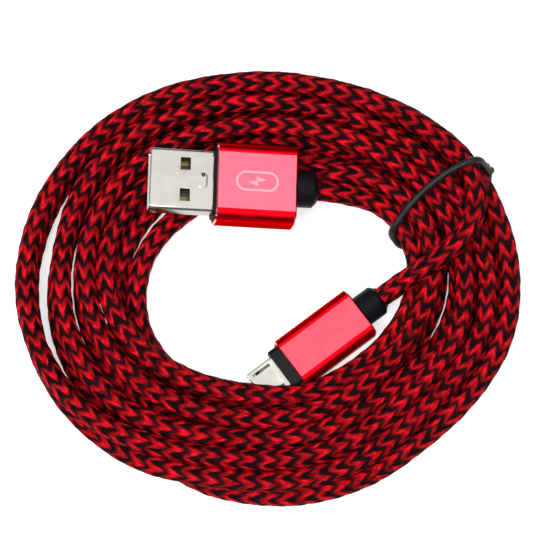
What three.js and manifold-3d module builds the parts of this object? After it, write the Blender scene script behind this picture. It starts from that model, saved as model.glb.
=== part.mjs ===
// A braided charging cable, two metres long, wound into a flat oval coil and held by a wire tie.
// The wide host plug lies tilted on the coil's inner edge, and the small device plug lies flat
// inside the coil. Millimetres, +Z up. The origin is on the table, under the middle of the box
// that holds the two plugs. Each plug is built along its own +X, from the sleeve's front edge
// (x = 0) to the metal tip (+x) and to the cord (-x), with its wide face up.

import * as THREE from "three";
import { mergeVertices } from "three/addons/utils/BufferGeometryUtils.js";
import Module from "manifold-3d";

const wasm = await Module();
wasm.setup();

// ---- Driving dimensions ----

const CORD_DIAMETER = 4.0;
const JACKET_DIAMETER = 2.8;
const WIRE_DIAMETER = 0.9;
const WIRE_QUARTER = 0.5;
const WIRE_RUN = 1.8;
const CRIMP_LENGTH = 1.6;
const CAVITY_CORNER = 0.8;
const JACKET_INTO_CAVITY = 2.2;
const JACKET_INTO_BOOT = -2.6;
const CORD_INTO_BOOT = -2.9;
const FIT = 0.1;
const FACE_GAP = 0.3;

const HOST = {
  position: [-10.07, 16.3, 10.8],
  heading: 178.3,
  pitch: 8.6,
  roll: 1.5,
  shell: { width: 12.0, height: 4.5, wall: 0.3, corner: 0.6, front: 12.6, back: -6.2 },
  window: { from: 4.9, to: 6.8, width: 2.4, side: 3.05 },
  tongue: { width: 11.2, bottom: -1.85, top: -0.05, front: 12.0 },
  contact: { width: 1.0, thickness: 0.28, tail: -8.2, overlap: 1.2 },
  contactSides: [3.5, 1.0, -1.0, -3.5],
  contactFronts: [10.9, 9.9, 9.9, 10.9],
  sleeve: { width: 15.5, height: 8.0, wall: 0.8, corner: 2.3, length: 15.4, edge: 0.25 },
  core: { front: 0.5, pocketBack: -6.4, cavityBack: -13.4, cavityWidth: 10, cavityHeight: 5 },
  boot: { diameter: 7.2, length: 4.2, chamfer: 0.9 },
};

const DEVICE = {
  position: [4.25, -17.6, 3.35],
  heading: 216.87,
  pitch: 0,
  roll: 0,
  shell: { width: 6.85, height: 1.8, wall: 0.25, chamfer: 0.55, front: 7.8, back: -3.6 },
  slot: { from: 3.0, to: 6.9, inner: 2.1, outer: 2.65 },
  carrier: { width: 4.0, bottom: -0.6, top: -0.25, front: 6.6 },
  contact: { pitch: 0.65, width: 0.3, thickness: 0.1, tail: -5.6 },
  wireEnds: [
    [1.8, -0.3],
    [0.6, 0.3],
    [-0.6, 0.3],
    [-1.8, -0.3],
  ],
  latch: { inner: 2.2, outer: 2.55 },
  sleeve: { width: 10.4, height: 6.7, wall: 0.75, corner: 1.8, length: 17.0, edge: 0.25 },
  core: { front: 2.1, pocketBack: -3.8, cavityBack: -13.8, cavityWidth: 6.9, cavityHeight: 3.9 },
  boot: { diameter: 6.2, length: 4.9, chamfer: 1.0 },
};

const COIL = {
  outline: { x: 0.1, y: -2.15, halfX: 48.4, halfY: 42.2 },
  hole: { x: 2.0, y: -2.3, halfX: 25.6, halfY: 19.6 },
  height: 7.6,
  rounding: 2.4,
};

const TIE_DIAMETER = 1.5;

// The cord from each boot to where it joins the coil, then the tie from its free end over the
// bundle, down its inner side and back underneath.
const HOST_LEAD = [
  [10.95, 15.57, 7.6],
  [13.35, 15.5, 7.2],
  [17.95, 14.9, 6.2],
  [21.0, 14.2, 5.2],
  [23.6, 12.9, 4.8],
];
const DEVICE_LEAD = [
  [23.6, -3.1, 3.5],
  [26.35, -2.0, 4.7],
  [29.35, -0.3, 7.1],
  [33.05, 1.95, 9.1],
  [35.85, 4.45, 10.0],
  [38.45, 7.45, 10.2],
  [40.05, 10.65, 10.0],
  [40.65, 13.85, 9.6],
  [39.85, 18.25, 9.0],
  [37.75, 22.25, 8.4],
];
const TIE_LOOP = [
  [44.25, 18.3, 5.6],
  [43.25, 19.6, 6.9],
  [41.65, 21.3, 9.2],
  [39.65, 22.5, 11.2],
  [37.55, 22.2, 12.0],
  [32.95, 19.5, 10.8],
  [27.65, 14.9, 9.3],
  [24.95, 11.2, 7.6],
  [24.35, 8.4, 5.0],
  [25.35, 6.2, 2.2],
  [28.15, 6.6, 0.95],
  [33.35, 10.6, 0.9],
  [40.15, 15.4, 0.95],
  [43.35, 17.3, 2.0],
  [44.25, 18.1, 3.9],
];

// ---- Shapes ----

const TUBE_SIDES = 8;
const ROUND_SIDES = 24;
const CORNER_STEPS = 3;
const X = new THREE.Vector3(1, 0, 0);
const Y = new THREE.Vector3(0, 1, 0);
const Z = new THREE.Vector3(0, 0, 1);

/** A rectangle with round corners, centred on the origin. */
function roundedRect(width, height, corner) {
  const x = width / 2;
  const y = height / 2;
  const shape = new THREE.Shape();
  shape.moveTo(-x + corner, -y);
  shape.absarc(x - corner, -y + corner, corner, -Math.PI / 2, 0);
  shape.absarc(x - corner, y - corner, corner, 0, Math.PI / 2);
  shape.absarc(-x + corner, y - corner, corner, Math.PI / 2, Math.PI);
  shape.absarc(-x + corner, -y + corner, corner, Math.PI, 1.5 * Math.PI);
  return shape;
}

/** A rectangle whose two lower corners are cut off, as a small plug's shell has them. */
function keyedRect(width, height, chamfer) {
  const x = width / 2;
  const y = height / 2;
  const outline = [
    [-x + chamfer, -y],
    [x - chamfer, -y],
    [x, -y + chamfer],
    [x, y],
    [-x, y],
    [-x, -y + chamfer],
  ];
  return new THREE.Shape(outline.map(([a, b]) => new THREE.Vector2(a, b)));
}

/** A shape drawn across the plug (Y, Z) and extruded along X between two places. */
function alongX(shape, from, to, bevel = 0) {
  const geometry = new THREE.ExtrudeGeometry(shape, {
    depth: to - from - 2 * bevel,
    bevelEnabled: bevel > 0,
    bevelSize: bevel,
    bevelThickness: bevel,
    bevelOffset: -bevel,
    bevelSegments: 1,
    curveSegments: CORNER_STEPS,
  });
  geometry.translate(0, 0, from + bevel);
  return geometry.applyMatrix4(new THREE.Matrix4().makeBasis(Y, Z, X));
}

/** An outline drawn from the side (X, Z) and extruded across the plug between two places in Y. */
function acrossY(outline, from, to) {
  const shape = new THREE.Shape(outline.map(([x, z]) => new THREE.Vector2(x, z)));
  const geometry = new THREE.ExtrudeGeometry(shape, { depth: to - from, bevelEnabled: false });
  geometry.applyMatrix4(new THREE.Matrix4().makeBasis(X, Z, Y.clone().negate()));
  return geometry.translate(0, to, 0);
}

/** A box between two corners. */
function box(low, high) {
  const size = high.map((value, i) => value - low[i]);
  const middle = high.map((value, i) => (value + low[i]) / 2);
  return new THREE.BoxGeometry(...size).translate(...middle);
}

/** A round rod along X. */
function rod(diameter, from, to) {
  const geometry = new THREE.CylinderGeometry(diameter / 2, diameter / 2, to - from, ROUND_SIDES);
  return geometry.rotateZ(-Math.PI / 2).translate((from + to) / 2, 0, 0);
}

/** A ring or collar round X, from a closed outline of [x, radius] points. */
function turned(outline) {
  const points = [...outline, outline[0]].map(([x, radius]) => new THREE.Vector2(radius, x));
  return new THREE.LatheGeometry(points, ROUND_SIDES).rotateZ(-Math.PI / 2);
}

/** A round tube along a smooth curve through the points. */
function tube(points, diameter, steps, sides = TUBE_SIDES) {
  const section = new THREE.Shape();
  section.absarc(0, 0, diameter / 2, 0, 2 * Math.PI);
  const extrudePath = new THREE.CatmullRomCurve3(points.map((p) => new THREE.Vector3(...p)));
  return new THREE.ExtrudeGeometry(section, { steps, curveSegments: sides / 2, extrudePath });
}

// ---- Joining and cutting ----

/** A closed geometry as a solid. */
function solid(geometry) {
  const bare = new THREE.BufferGeometry();
  bare.setIndex(geometry.index);
  bare.setAttribute("position", geometry.getAttribute("position"));
  const merged = mergeVertices(bare, 1e-4);
  return new wasm.Manifold(
    new wasm.Mesh({
      numProp: 3,
      vertProperties: new Float32Array(merged.attributes.position.array),
      triVerts: new Uint32Array(merged.index.array),
    }),
  );
}

/** The first geometry less all the others. */
function cut(geometry, ...tools) {
  const left = tools.reduce((rest, tool) => rest.subtract(solid(tool)), solid(geometry));
  const { vertProperties, triVerts } = left.getMesh();
  const made = new THREE.BufferGeometry();
  made.setAttribute("position", new THREE.BufferAttribute(vertProperties, 3));
  made.setIndex(new THREE.BufferAttribute(triVerts, 1));
  made.computeVertexNormals();
  return made;
}

// ---- Finishes and placing ----

const finishes = {
  nickel: () => new THREE.MeshStandardMaterial({ color: 0xe2e0da, roughness: 0.28, metalness: 1 }),
  gold: () => new THREE.MeshStandardMaterial({ color: 0xc9a24a, roughness: 0.3, metalness: 1 }),
  steel: () => new THREE.MeshStandardMaterial({ color: 0xb9b8b2, roughness: 0.35, metalness: 1 }),
  anodised: () => new THREE.MeshStandardMaterial({ color: 0xc8102c, roughness: 0.32, metalness: 0.9 }),
  moulding: () => new THREE.MeshStandardMaterial({ color: 0x0b0b0d, roughness: 0.45, metalness: 0 }),
  insulator: () => new THREE.MeshStandardMaterial({ color: 0x17171a, roughness: 0.5, metalness: 0 }),
  braid: () => new THREE.MeshStandardMaterial({ color: 0x9c1020, roughness: 0.85, metalness: 0 }),
  wire: (color) => new THREE.MeshStandardMaterial({ color, roughness: 0.55, metalness: 0 }),
};

function piece(name, geometry, material) {
  const mesh = new THREE.Mesh(geometry, material);
  mesh.name = name;
  return mesh;
}

/** A group set down at a plug's place: heading round Z, then the tip's rise, then its roll. */
function placed({ position, heading, pitch, roll }) {
  const group = new THREE.Group();
  const angles = [roll, -pitch, heading].map(THREE.MathUtils.degToRad);
  group.position.set(...position);
  group.rotation.set(...angles, "ZYX");
  group.updateMatrix();
  return group;
}

/** The place in the part's frame of a point on a plug's own axis. */
function onAxis(group, x) {
  return new THREE.Vector3(x, 0, 0).applyMatrix4(group.matrix).toArray();
}

// ---- Pieces that both plugs have ----

/** The drawn aluminium sleeve: a rounded tube with a fine chamfer at both ends. */
function sleeve({ width, height, wall, corner, length, edge }) {
  const outside = alongX(roundedRect(width, height, corner), -length, 0, edge);
  const bore = roundedRect(width - 2 * wall, height - 2 * wall, corner - wall);
  return cut(outside, alongX(bore, -length - 1, 1));
}

/** The moulded core that fills the sleeve: shell pocket, wire cavity and a round way out. */
function core(plug, pocket) {
  const { width, height, wall, corner, length } = plug.sleeve;
  const inset = wall + FIT;
  const outline = roundedRect(width - 2 * inset, height - 2 * inset, corner - inset);
  const { front, pocketBack, cavityBack, cavityWidth, cavityHeight } = plug.core;
  return cut(
    alongX(outline, FIT - length, front),
    alongX(pocket, pocketBack, front + 1),
    alongX(roundedRect(cavityWidth, cavityHeight, CAVITY_CORNER), cavityBack, pocketBack + FIT),
    rod(JACKET_DIAMETER + 2 * FIT, -length - 1, cavityBack + FIT),
  );
}

/** The soft boot behind the sleeve, a short barrel with a chamfered end and the cord's bore. */
function boot({ sleeve: { length }, boot: size }) {
  const bore = CORD_DIAMETER / 2 + FIT;
  const outside = size.diameter / 2;
  const front = -length - FIT;
  const back = front - size.length;
  return turned([
    [back, bore],
    [back, outside - size.chamfer],
    [back + size.chamfer, outside],
    [front, outside],
    [front, bore],
  ]);
}

/** The end of the inner jacket, which runs from inside the boot to the crimp. */
function jacket({ sleeve: { length }, core: { cavityBack } }) {
  return rod(JACKET_DIAMETER, JACKET_INTO_BOOT - length, cavityBack + JACKET_INTO_CAVITY);
}

/** The steel ferrule crimped round the jacket's end. */
function crimp({ core: { cavityBack, cavityHeight } }) {
  const bore = JACKET_DIAMETER / 2 + FIT / 2;
  const outside = cavityHeight / 2 - 2 * FIT;
  const back = cavityBack + FIT;
  const front = back + CRIMP_LENGTH;
  return turned([
    [back, bore],
    [back, outside],
    [front, outside],
    [front, bore],
  ]);
}

/** One of four insulated wires, from its quarter of the jacket out to the tail of its contact. */
function wire(plug, i, side, height, tail) {
  const start = plug.core.cavityBack + JACKET_INTO_CAVITY + FACE_GAP;
  const y = side > 0 ? WIRE_QUARTER : -WIRE_QUARTER;
  const z = i === 0 || i === 3 ? -WIRE_QUARTER : WIRE_QUARTER;
  const path = [
    [start, y, z],
    [start + 0.25 * (tail - start), y, z],
    [tail - WIRE_RUN, side, height],
    [tail, side, height],
  ];
  return tube(path, WIRE_DIAMETER, 6);
}

// ---- Host plug ----

const WIRE_COLOURS = [0xc01a1a, 0xe8e8e4, 0x2a8a3a, 0x151515];

function hostShell() {
  const { width, height, wall, corner, front, back } = HOST.shell;
  const { from, to, width: across, side } = HOST.window;
  const windows = [side, -side].map((middle) =>
    box([from, middle - across / 2, -height], [to, middle + across / 2, height]),
  );
  return cut(
    alongX(roundedRect(width, height, corner), back, front),
    alongX(roundedRect(width - 2 * wall, height - 2 * wall, corner - wall), back - 1, front + 1),
    ...windows,
  );
}

function hostTongue() {
  const { width, bottom, top, front } = HOST.tongue;
  return box([HOST.shell.back, -width / 2, bottom], [front, width / 2, top]);
}

function buildHostPlug() {
  const group = placed(HOST);
  const { shell, contact } = HOST;
  const pocket = roundedRect(shell.width + 2 * FIT, shell.height + 2 * FIT, shell.corner);
  group.add(
    piece("host_shell", hostShell(), finishes.nickel()),
    piece("host_tongue", hostTongue(), finishes.insulator()),
    piece("host_core", core(HOST, pocket), finishes.moulding()),
    piece("host_sleeve", sleeve(HOST.sleeve), finishes.anodised()),
    piece("host_boot", boot(HOST), finishes.moulding()),
    piece("host_jacket", jacket(HOST), finishes.insulator()),
    piece("host_crimp", crimp(HOST), finishes.steel()),
  );
  const wireHeight = contact.thickness + FIT + WIRE_DIAMETER / 2;
  HOST.contactSides.forEach((side, i) => {
    const low = [contact.tail, side - contact.width / 2, 0];
    const high = [HOST.contactFronts[i], side + contact.width / 2, contact.thickness];
    const lead = wire(HOST, i, side, wireHeight, contact.tail + contact.overlap);
    group.add(piece(`host_contact_${i + 1}`, box(low, high), finishes.gold()));
    group.add(piece(`host_wire_${i + 1}`, lead, finishes.wire(WIRE_COLOURS[i])));
  });
  return group;
}

// ---- Device plug ----

function deviceShell() {
  const { width, height, wall, chamfer, front, back } = DEVICE.shell;
  const { from, to, inner, outer } = DEVICE.slot;
  const slots = [1, -1].map((side) => {
    const [low, high] = side > 0 ? [inner, outer] : [-outer, -inner];
    return box([from, low, 0], [to, high, height]);
  });
  return cut(
    alongX(keyedRect(width, height, chamfer), back, front),
    alongX(keyedRect(width - 2 * wall, height - 2 * wall, chamfer), back - 1, front + 1),
    ...slots,
  );
}

function deviceCarrier() {
  const { width, bottom, top, front } = DEVICE.carrier;
  return box([DEVICE.shell.back, -width / 2, bottom], [front, width / 2, top]);
}

/** A latch: a flat spring arm under the shell's top wall, with a hook that stands through it. */
function deviceLatch(side) {
  const outline = [
    [-2.5, 0.25],
    [6.3, 0.25],
    [6.4, 0.5],
    [5.5, 1.2],
    [5.0, 1.2],
    [4.9, 0.45],
    [-2.5, 0.45],
  ];
  const { inner, outer } = DEVICE.latch;
  const [low, high] = side > 0 ? [inner, outer] : [-outer, -inner];
  return acrossY(outline, low, high);
}

/** A contact spring: flat at the root, rising to its bump, with its end turned down. */
function deviceContact(middle) {
  const { width, thickness, tail } = DEVICE.contact;
  const top = [
    [tail, -0.1],
    [-1.0, -0.1],
    [5.0, 0.3],
    [5.5, 0.3],
    [6.2, 0.12],
  ];
  const underside = top.map(([x, z]) => [x, z - thickness]).reverse();
  return acrossY([...top, ...underside], middle - width / 2, middle + width / 2);
}

function buildDevicePlug() {
  const group = placed(DEVICE);
  const { shell, contact } = DEVICE;
  const pocket = keyedRect(shell.width + 2 * FIT, shell.height + 2 * FIT, shell.chamfer);
  group.add(
    piece("device_shell", deviceShell(), finishes.nickel()),
    piece("device_carrier", deviceCarrier(), finishes.insulator()),
    piece("device_latch_left", deviceLatch(1), finishes.steel()),
    piece("device_latch_right", deviceLatch(-1), finishes.steel()),
    piece("device_core", core(DEVICE, pocket), finishes.moulding()),
    piece("device_sleeve", sleeve(DEVICE.sleeve), finishes.anodised()),
    piece("device_boot", boot(DEVICE), finishes.moulding()),
    piece("device_jacket", jacket(DEVICE), finishes.insulator()),
    piece("device_crimp", crimp(DEVICE), finishes.steel()),
  );
  [2, 1, 0, -1, -2].forEach((place, i) => {
    const spring = deviceContact(place * contact.pitch);
    group.add(piece(`device_contact_${i + 1}`, spring, finishes.gold()));
  });
  DEVICE.wireEnds.forEach(([side, height], i) => {
    const lead = wire(DEVICE, i, side, height, contact.tail - FACE_GAP);
    group.add(piece(`device_wire_${i + 1}`, lead, finishes.wire(WIRE_COLOURS[i])));
  });
  return group;
}

// ---- Cord and tie ----

/** A plug's outside with room round it, to clear the coil from. */
function plugRoom(plug, group) {
  const { shell, sleeve: body, core: inside, boot: end } = plug;
  const room = 2 * FACE_GAP;
  const face = (width, height) => roundedRect(width + room, height + room, 0.5);
  const shapes = [
    alongX(face(shell.width, shell.height), 0, shell.front + FACE_GAP),
    alongX(face(body.width, body.height), -body.length - FACE_GAP, inside.front + FACE_GAP),
    rod(end.diameter + room, -body.length - end.length - 2 * FACE_GAP, -body.length),
  ];
  return shapes.map((shape) => shape.applyMatrix4(group.matrix));
}

/** The coil's outer shape: a flat oval ring with rounded edges. */
function coilRing() {
  const { outline, hole, height, rounding } = COIL;
  const shape = new THREE.Shape();
  shape.absellipse(outline.x, outline.y, outline.halfX, outline.halfY, 0, 2 * Math.PI);
  const inside = new THREE.Path();
  inside.absellipse(hole.x, hole.y, hole.halfX, hole.halfY, 0, 2 * Math.PI, true);
  shape.holes.push(inside);
  const geometry = new THREE.ExtrudeGeometry(shape, {
    depth: height - 2 * rounding,
    bevelSize: rounding,
    bevelThickness: rounding,
    bevelOffset: -rounding,
    bevelSegments: 2,
    curveSegments: 22,
  });
  return geometry.translate(0, 0, rounding);
}

function buildCord(host, device) {
  const hostPath = [onAxis(host, CORD_INTO_BOOT - HOST.sleeve.length), ...HOST_LEAD];
  const devicePath = [onAxis(device, CORD_INTO_BOOT - DEVICE.sleeve.length), ...DEVICE_LEAD];
  const grooveWidth = CORD_DIAMETER + 2 * FACE_GAP;
  const past = (points) => {
    const [before, last] = points.slice(-2).map((p) => new THREE.Vector3(...p));
    const step = last.clone().sub(before).setLength(FACE_GAP);
    return [...points, last.add(step).toArray()];
  };
  const coil = cut(
    coilRing(),
    ...plugRoom(HOST, host),
    ...plugRoom(DEVICE, device),
    tube(past(hostPath), grooveWidth, 10, 12),
    tube(past(devicePath), grooveWidth, 16, 12),
    tube(TIE_LOOP, TIE_DIAMETER + 2 * FACE_GAP, 36),
  );
  return [
    piece("cord_coil", coil, finishes.braid()),
    piece("cord_lead_host", tube(hostPath, CORD_DIAMETER, 10, 12), finishes.braid()),
    piece("cord_lead_device", tube(devicePath, CORD_DIAMETER, 16, 12), finishes.braid()),
    piece("wire_tie", tube(TIE_LOOP, TIE_DIAMETER, 36), finishes.moulding()),
  ];
}

const group = new THREE.Group();
const host = buildHostPlug();
const device = buildDevicePlug();
group.add(host, device, ...buildCord(host, device));

export default group;
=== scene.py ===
import math

import bmesh
import bpy
import numpy as np
from mathutils import Matrix, Vector
from mathutils.bvhtree import BVHTree


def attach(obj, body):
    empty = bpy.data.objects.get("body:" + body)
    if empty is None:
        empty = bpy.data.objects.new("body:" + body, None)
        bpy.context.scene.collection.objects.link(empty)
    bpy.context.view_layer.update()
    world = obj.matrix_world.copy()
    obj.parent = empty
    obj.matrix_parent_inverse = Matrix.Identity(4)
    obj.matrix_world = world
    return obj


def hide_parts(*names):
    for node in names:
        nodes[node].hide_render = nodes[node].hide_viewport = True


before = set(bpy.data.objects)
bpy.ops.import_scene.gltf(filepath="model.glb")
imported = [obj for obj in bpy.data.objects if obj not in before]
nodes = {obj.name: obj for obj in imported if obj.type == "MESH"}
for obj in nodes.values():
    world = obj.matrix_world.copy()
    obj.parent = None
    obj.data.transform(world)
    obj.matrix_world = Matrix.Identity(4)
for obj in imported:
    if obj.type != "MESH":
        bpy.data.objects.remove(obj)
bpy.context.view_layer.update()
scene = bpy.context.scene
MM = 0.001


# ---- The table, the light over it and the camera ----
# The cable lies on a plain white table under one big soft lamp and a weaker one from the left.
# The camera looks down on it from the front, ten degrees off straight down.

CAMERA_TARGET = Vector((0.00146, -0.00035, 0.005))
CAMERA_DISTANCE = 0.48
CAMERA_TILT = math.radians(10)
CAMERA_LENS, CAMERA_SENSOR, CAMERA_NEAREST = 164, 36, 0.01

camera = bpy.data.objects.new("camera", bpy.data.cameras.new("camera"))
camera.data.lens = CAMERA_LENS
camera.data.sensor_width = CAMERA_SENSOR
camera.data.clip_start = CAMERA_NEAREST
camera.rotation_euler = (CAMERA_TILT, 0, 0)
camera_way = Vector((0, -math.sin(CAMERA_TILT), math.cos(CAMERA_TILT)))
camera.location = CAMERA_TARGET + CAMERA_DISTANCE * camera_way
scene.collection.objects.link(camera)
scene.camera = camera


def finish(name, color=(0.8, 0.8, 0.8), **sockets):
    """A new material with its shader's own sockets set, its nodes and its links."""
    material = bpy.data.materials.new(name)
    material.use_nodes = True
    shader = material.node_tree.nodes["Principled BSDF"]
    shader.inputs["Base Color"].default_value = (*color, 1)
    for socket, value in sockets.items():
        shader.inputs[socket.replace("_", " ")].default_value = value
    return material, shader


def mesh_piece(name, points, faces, material):
    """A new smooth object from points and faces, in the row frame."""
    mesh = bpy.data.meshes.new(name)
    mesh.from_pydata([tuple(p) for p in points], [], faces)
    mesh.materials.append(material)
    mesh.polygons.foreach_set("use_smooth", [True] * len(mesh.polygons))
    made = bpy.data.objects.new(name, mesh)
    scene.collection.objects.link(made)
    return made


TABLE_HALF = 1.5

white_table, _ = finish(
    "white table", (0.6, 0.6, 0.6),
    Roughness=0.8, Emission_Color=(1, 1, 1, 1), Emission_Strength=0.55,
)
table_corners = [(x * TABLE_HALF, y * TABLE_HALF, 0) for x, y in ((-1, -1), (1, -1), (1, 1), (-1, 1))]
table = mesh_piece("table", table_corners, [(0, 1, 2, 3)], white_table)

# The room is white overhead and darker towards the walls, so metal shows bright and dark bands.
SKY_STRENGTH = 2.4
SKY_LEVELS = [(0.0, 0.05), (0.58, 0.07), (0.84, 1.0)]

scene.view_settings.view_transform = "Standard"
scene.world = bpy.data.worlds.new("white room")
scene.world.use_nodes = True
sky = scene.world.node_tree
sky_way = sky.nodes.new("ShaderNodeTexCoord")
sky_height = sky.nodes.new("ShaderNodeSeparateXYZ")
sky_levels = sky.nodes.new("ShaderNodeValToRGB")
sky_levels.color_ramp.elements.new(0.5)
for element, (height, level) in zip(sky_levels.color_ramp.elements, SKY_LEVELS):
    element.position = height
    element.color = (level, level, level, 1)
sky.links.new(sky_way.outputs["Generated"], sky_height.inputs[0])
sky.links.new(sky_height.outputs["Z"], sky_levels.inputs[0])
sky.links.new(sky_levels.outputs["Color"], sky.nodes["Background"].inputs["Color"])
sky.nodes["Background"].inputs["Strength"].default_value = SKY_STRENGTH


def lamp(name, place, size, watts):
    """A square soft lamp that points at the middle of the cable."""
    light = bpy.data.objects.new(name, bpy.data.lights.new(name, "AREA"))
    light.data.size = size
    light.data.energy = watts
    light.location = place
    light.rotation_euler = (CAMERA_TARGET - Vector(place)).to_track_quat("-Z", "Y").to_euler()
    scene.collection.objects.link(light)


lamp("big lamp", (-0.35, -0.3, 0.9), 0.4, 6)
lamp("left lamp", (-0.7, -0.1, 0.45), 0.3, 2)


# ---- How the two plugs lie ----
# Each plug was laid down at its own angle. Its own axes are read from a plain bar inside it:
# +X runs out through the metal tip from the sleeve's front edge, and +Z out of the wide face.


def points_of(node):
    """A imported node's points, as rows."""
    return np.array([v.co for v in nodes[node].data.vertices])


def plug_place(bar, sleeve, boot):
    """The matrix that takes a plug's own axes to the row frame."""
    corners = points_of(bar)
    middle = corners.mean(0)
    axes = np.linalg.svd(corners - middle)[2]
    along = axes[0] * np.sign(axes[0] @ (middle - points_of(boot).mean(0)))
    up = axes[2] * np.sign(axes[2][2])
    across = np.cross(up, along)
    sides = points_of(sleeve) @ np.stack([along, across, up]).T
    low, high = sides.min(0), sides.max(0)
    centre = (low + high) / 2
    origin = high[0] * along + centre[1] * across + centre[2] * up
    rows = np.stack([along, across, up, origin], axis=1)
    return Matrix([*(tuple(row) for row in rows), (0, 0, 0, 1)])


host_place = plug_place("host_tongue", "host_sleeve", "host_boot")
device_place = plug_place("device_carrier", "device_sleeve", "device_boot")


# ---- The cord's route ----
# The cord leaves the host plug's boot, is wound nine times round the hand from the inside out,
# crossing its own turns, and comes back over them to the device plug's boot.
# It lies slack, so each turn rests on the table, on the turns below it or on a plug.

CORD_RADIUS = 0.002
HOST_BOOT_END, DEVICE_BOOT_END = -0.0197, -0.022
HOST_EXIT = host_place @ Vector((HOST_BOOT_END, 0, 0))
DEVICE_EXIT = device_place @ Vector((DEVICE_BOOT_END, 0, 0))
CORD_IN_BOOT = 0.0025

HOST_LEAD = [
    (0.01095, 0.01557, 0.0076),
    (0.01335, 0.0155, 0.0072),
    (0.01795, 0.0149, 0.0062),
    (0.0210, 0.0142, 0.0052),
    (0.0236, 0.0129, 0.0048),
]
DEVICE_LEAD = [
    (0.0236, -0.0031, 0.0035),
    (0.02635, -0.0020, 0.0047),
    (0.02935, -0.0003, 0.0071),
    (0.03305, 0.00195, 0.0091),
    (0.03585, 0.00445, 0.0100),
    (0.03845, 0.00745, 0.0102),
    (0.04005, 0.01065, 0.0100),
    (0.04065, 0.01385, 0.0096),
    (0.03985, 0.01825, 0.0090),
    (0.03775, 0.02225, 0.0084),
]

# Each turn's half width in mm and its layer, at twelve bearings clockwise from the tie's.
COIL_MIDDLE = (0.0009, -0.0021)
COIL_SQUASH = 0.876
TIE_BEARING = 45
STOPS = 12
FIRST_STOP, POINTS_PER_STOP = 0.6, 3
LAYER_HEIGHT = 0.0035
TURNS = [
    (
        (27.5, 29, 27.2, 25.1, 24.9, 24.8, 27.5, 30.8, 33, 33, 32.6, 33),
        (0.9, 0, 0, 0.6, 1.4, 1.4, 1, 0.8, 0, 0, 0, 0),
    ),
    (
        (36, 36.4, 35.6, 32.5, 34.6, 35.4, 39.5, 40.6, 41, 43.1, 42.1, 41.2),
        (0, 0, 0, 0.8, 1, 1, 1, 1, 1, 1, 1, 1),
    ),
    (
        (40.8, 41.4, 41.5, 38.8, 42.3, 43.2, 46.1, 47.1, 46.9, 46.2, 44.5, 44),
        (1, 1, 1, 1, 0.8, 0.7, 0.2, 0, 0, 0, 0, 0),
    ),
    (
        (45.7, 45.4, 45.5, 43.8, 46.0, 45.4, 42.5, 42.0, 41, 42.1, 41.0, 41.4),
        (1, 1, 1, 0.7, 0, 0, 0, 0, 0, 0, 0, 0),
    ),
    (
        (45.0, 45.2, 45.2, 40.6, 37, 34.9, 34.9, 36.2, 36.6, 36.8, 36.4, 37.7),
        (0, 0, 0, 0, 0, 0, 0, 0, 0, 0, 0, 0),
    ),
    (
        (40.4, 40.8, 41.0, 37.3, 33.5, 32.3, 31.9, 31.2, 30, 29.6, 28.9, 30.2),
        (0, 0, 0, 0, 0, 0, 0, 0, 0, 0, 0, 0),
    ),
    (
        (32.6, 32.8, 31.2, 29.1, 28.7, 28.3, 28.2, 27.4, 26, 24.2, 24.4, 27.2),
        (0.3, 0.3, 0.2, 0, 0, 0, 0, 0, 0, 0, 0.3, 1),
    ),
    (
        (31.6, 32.2, 28.7, 28.2, 29.7, 30.6, 33.0, 35, 36.4, 37.4, 35.8, 35.4),
        (1, 1, 1, 1, 1, 1, 1, 1, 1, 1, 1, 1),
    ),
    (
        (36.4, 37.2, 37.2, 36.4, 38.5, 40.2, 45.3, 47.1, 47.2, 46.6, 44.4, 44.1),
        (1, 1, 1, 1, 1, 1, 1.3, 1, 1, 1, 1, 1.3),
    ),
]
COIL_END = (45.1, 2)


def smooth_between(values, at):
    """A smooth curve through evenly spaced values, read at places that may lie between them."""
    first = np.clip(np.floor(at).astype(int), 0, len(values) - 2)
    t = (at - first)[:, None] if values.ndim > 1 else at - first
    a, b, c, d = (values[np.clip(first + i, 0, len(values) - 1)] for i in (-1, 0, 1, 2))
    return b + t / 2 * (c - a + t * (2 * a - 5 * b + 4 * c - d + t * (3 * (b - c) + d - a)))


def even_steps(line, step):
    """The same smooth line with points an even step apart."""
    fine = smooth_between(line, np.linspace(0, len(line) - 1, 12 * len(line)))
    along = np.concatenate([[0], np.cumsum(np.linalg.norm(np.diff(fine, axis=0), axis=1))])
    at = np.linspace(0, along[-1], round(along[-1] / step) + 1)
    return np.stack([np.interp(at, along, fine[:, k]) for k in range(3)], axis=1)


def wind_coil():
    """The coil's turns, with the same number of points from each stop to the next."""
    stops = [pair for widths, layers in TURNS for pair in zip(widths, layers)]
    stops = np.array([*stops, COIL_END])
    at = np.arange(FIRST_STOP, len(stops) - 1.01, 1 / POINTS_PER_STOP)
    width, layer = smooth_between(stops, at).T
    bearing = np.radians(TIE_BEARING - 360 / STOPS * at)
    x = COIL_MIDDLE[0] + MM * width * np.cos(bearing)
    y = COIL_MIDDLE[1] + MM * width * np.sin(bearing) * COIL_SQUASH
    return np.stack([x, y, CORD_RADIUS + LAYER_HEIGHT * layer], axis=1)


def into_boot(place, exit_point):
    """Where the cord ends inside a boot."""
    return tuple(exit_point + CORD_IN_BOOT * place.col[0].xyz)


PLUGS = ("host", "device")
OBSTACLES = [f"{plug}_{part}" for plug in PLUGS for part in ("shell", "sleeve", "core", "boot")]
OBSTACLES.append("wire_tie")
SETTLE_STEP, SETTLE_ROUNDS, DROP = 0.0016, 320, 0.00004
HELD_POINTS = 4
REACH, LOOSE_POINTS = 6, 26
STIFFNESS, LOOSE_STIFFNESS, FINE_STIFFNESS = 0.3, 0.04, 0.2
LANE_HOLD = 0.9
PUSHES, PUSH = 3, 1.3
NEAR, NEIGHBOURS, LOOK_EVERY = 0.0016, 5, 8
LAST_SMOOTHING = 12
ABOVE_TABLE, TINY = 0.00012, 1e-6


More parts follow.
